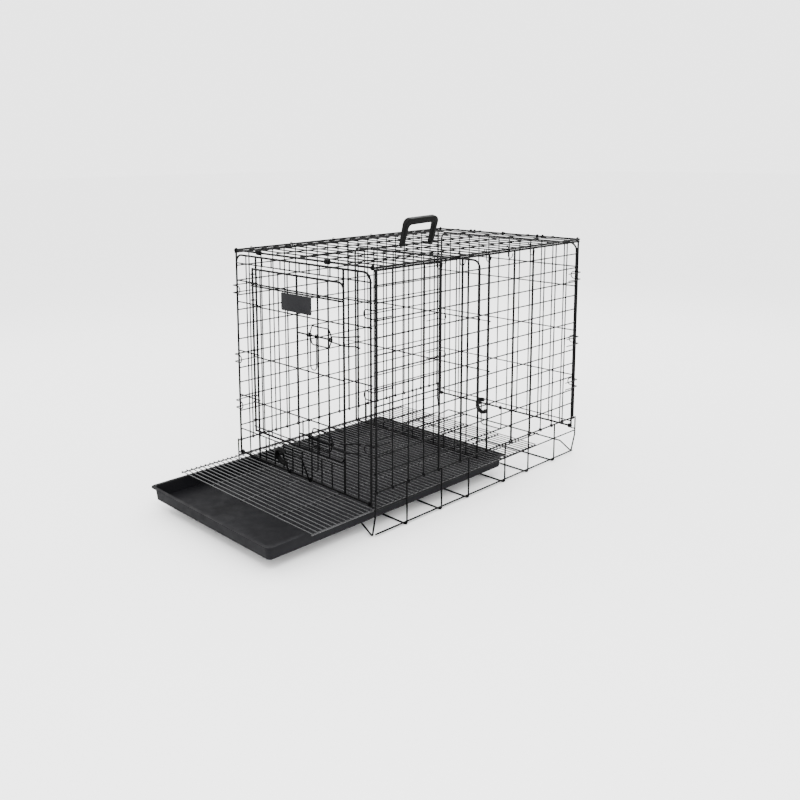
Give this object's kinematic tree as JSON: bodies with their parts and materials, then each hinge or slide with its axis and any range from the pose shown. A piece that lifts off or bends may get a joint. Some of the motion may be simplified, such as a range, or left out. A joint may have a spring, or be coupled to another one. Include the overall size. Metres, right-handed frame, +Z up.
{
  "type": "folding wire dog crate",
  "caption": "Folding wire dog crate with front door, hinged top, divider, slide-out pan and floor grid, carry handle.",
  "frame": {"origin": "middle of the bounding box on the floor, with the pan and the grid drawn out of the front", "axes": "+Z up, Y along the crate with the front door facing -Y, X across it"},
  "size_m": [0.584, 1.2494, 0.7791],
  "materials": {
    "wire": "satin black coat",
    "pan": "matt moulded",
    "handle": "matt moulded",
    "grip": "matt moulded",
    "plate": "satin"
  },
  "bodies": {
    "base": {"base_panel": "wire", "right_side_panel": "wire", "left_side_panel": "wire", "right_hinge_loops": "wire", "left_hinge_loops": "wire", "left_finger_hooks": "wire", "right_finger_hooks": "wire", "top_hinge_rings": "wire"},
    "front_panel": {"front_panel": "wire", "door_hinge_eyes": "wire", "upper_latch_keeper": "wire", "lower_latch_keeper": "wire"},
    "front_door": {"front_door": "wire", "name_plate": "plate", "upper_latch_guide": "wire", "lower_latch_guide": "wire"},
    "upper_bolt": {"upper_latch_bolt": "wire"},
    "upper_bolt_handle": {"upper_latch_handle": "wire"},
    "lower_bolt": {"lower_latch_bolt": "wire"},
    "lower_bolt_handle": {"lower_latch_handle": "wire"},
    "front_pan_stop": {"front_pan_stop": "wire", "front_stop_grip": "grip"},
    "rear_panel": {"rear_panel": "wire"},
    "rear_pan_stop": {"rear_pan_stop": "wire", "rear_stop_grip": "grip"},
    "top_panel": {"top_panel": "wire", "top_hooks": "wire", "top_clips": "wire"},
    "carry_handle": {"carry_handle": "handle"},
    "divider": {"divider_panel": "wire", "divider_hooks": "wire"},
    "floor_grid": {"floor_grid": "wire"},
    "pan": {"pan": "pan"}
  },
  "joints": [
    {"name": "front_panel_fold", "type": "hinge", "parent": "base", "child": "front_panel", "pos_m": [0, -0.30168, 0.086], "axis": [1, 0, 0], "range_deg": [-45, 0]},
    {"name": "rear_panel_fold", "type": "hinge", "parent": "base", "child": "rear_panel", "pos_m": [0, 0.60733, 0.086], "axis": [-1, 0, 0], "range_deg": [-45, 0]},
    {"name": "front_door_swing", "type": "hinge", "parent": "front_panel", "child": "front_door", "pos_m": [-0.192, -0.30802, 0.4], "axis": [0, 0, -1], "range_deg": [0, 170]},
    {"name": "upper_bolt_slide", "type": "slide", "parent": "front_door", "child": "upper_bolt", "axis": [1, 0, 0], "range_m": [0, 0.022]},
    {"name": "upper_bolt_handle_swing", "type": "hinge", "parent": "upper_bolt", "child": "upper_bolt_handle", "pos_m": [0.078, -0.3176, 0.495], "axis": [-1, 0, 0], "range_deg": [0, 80]},
    {"name": "lower_bolt_slide", "type": "slide", "parent": "front_door", "child": "lower_bolt", "axis": [1, 0, 0], "range_m": [0, 0.022]},
    {"name": "lower_bolt_handle_swing", "type": "hinge", "parent": "lower_bolt", "child": "lower_bolt_handle", "pos_m": [0.078, -0.3176, 0.216], "axis": [-1, 0, 0], "range_deg": [0, 80]},
    {"name": "front_pan_stop_swing", "type": "hinge", "parent": "front_panel", "child": "front_pan_stop", "pos_m": [0, -0.30168, 0.086], "axis": [1, 0, 0], "range_deg": [-15, 55]},
    {"name": "rear_pan_stop_swing", "type": "hinge", "parent": "rear_panel", "child": "rear_pan_stop", "pos_m": [0, 0.60733, 0.086], "axis": [1, 0, 0], "range_deg": [0, 18]},
    {"name": "top_panel_swing", "type": "hinge", "parent": "base", "child": "top_panel", "pos_m": [-0.28595, 0.15282, 0.69135], "axis": [0, -1, 0], "range_deg": [0, 180]},
    {"name": "carry_handle_tilt", "type": "hinge", "parent": "top_panel", "child": "carry_handle", "pos_m": [0.005, 0.16232, 0.69517], "axis": [0, 1, 0], "range_deg": [-90, 60]},
    {"name": "divider_lift", "type": "slide", "parent": "base", "child": "divider", "axis": [0, 0, 1], "range_m": [0, 0.015]},
    {"name": "floor_grid_slide", "type": "slide", "parent": "base", "child": "floor_grid", "axis": [0, 1, 0], "range_m": [-0.3, 0.206]},
    {"name": "pan_slide", "type": "slide", "parent": "base", "child": "pan", "axis": [0, 1, 0], "range_m": [-0.3, 0.325]}
  ]
}
